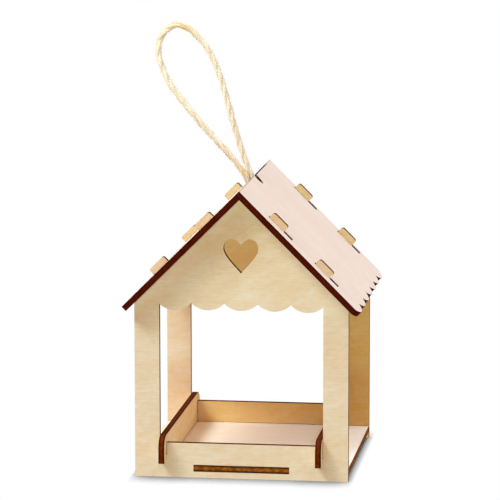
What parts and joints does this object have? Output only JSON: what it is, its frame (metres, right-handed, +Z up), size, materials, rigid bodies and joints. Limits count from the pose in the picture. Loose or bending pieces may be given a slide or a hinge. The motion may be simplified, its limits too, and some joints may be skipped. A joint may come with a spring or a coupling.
{
  "type": "hanging bird feeder",
  "caption": "House-shaped plywood bird feeder on a rope loop, open on every side, with a tray floor, side rails, scalloped valance and a gabled roof on tabs.",
  "frame": {"origin": "middle of the plywood parts' footprint, on the surface the house stands on", "axes": "+Z up, -Y towards the front panel with the longer roof overhang, +X to the right seen from the front"},
  "size_m": [0.1574, 0.16, 0.2928],
  "materials": {
    "gable_plywood": "bare birch plywood, smooth matte face, laser-charred cut edges",
    "floor_plywood": "bare birch plywood, smooth matte face, laser-charred cut edges",
    "rail_plywood": "bare birch plywood, smooth matte face, laser-charred cut edges",
    "roof_plywood": "bare birch plywood, smooth matte face, laser-charred cut edges",
    "rope_fibre": "three-strand natural fibre rope, fuzzy"
  },
  "bodies": {
    "house": {"front_panel": "gable_plywood", "rear_panel": "gable_plywood", "floor_panel": "floor_plywood", "hanging_rope": "rope_fibre", "rope_knot": "rope_fibre"},
    "roof_left": {"roof_left": "roof_plywood"},
    "roof_right": {"roof_right": "roof_plywood"},
    "side_rail_left": {"side_rail_left": "rail_plywood"},
    "side_rail_right": {"side_rail_right": "rail_plywood"}
  },
  "joints": [
    {"name": "roof_left_lift", "type": "slide", "parent": "house", "child": "roof_left", "axis": [-0.7071, 0, 0.7071], "range_m": [0, 0.02]},
    {"name": "roof_right_lift", "type": "slide", "parent": "house", "child": "roof_right", "axis": [0.7071, 0, 0.7071], "range_m": [0, 0.02]},
    {"name": "side_rail_left_lift", "type": "slide", "parent": "house", "child": "side_rail_left", "axis": [0, 0, 1], "range_m": [0, 0.025]},
    {"name": "side_rail_right_lift", "type": "slide", "parent": "house", "child": "side_rail_right", "axis": [0, 0, 1], "range_m": [0, 0.025]}
  ]
}
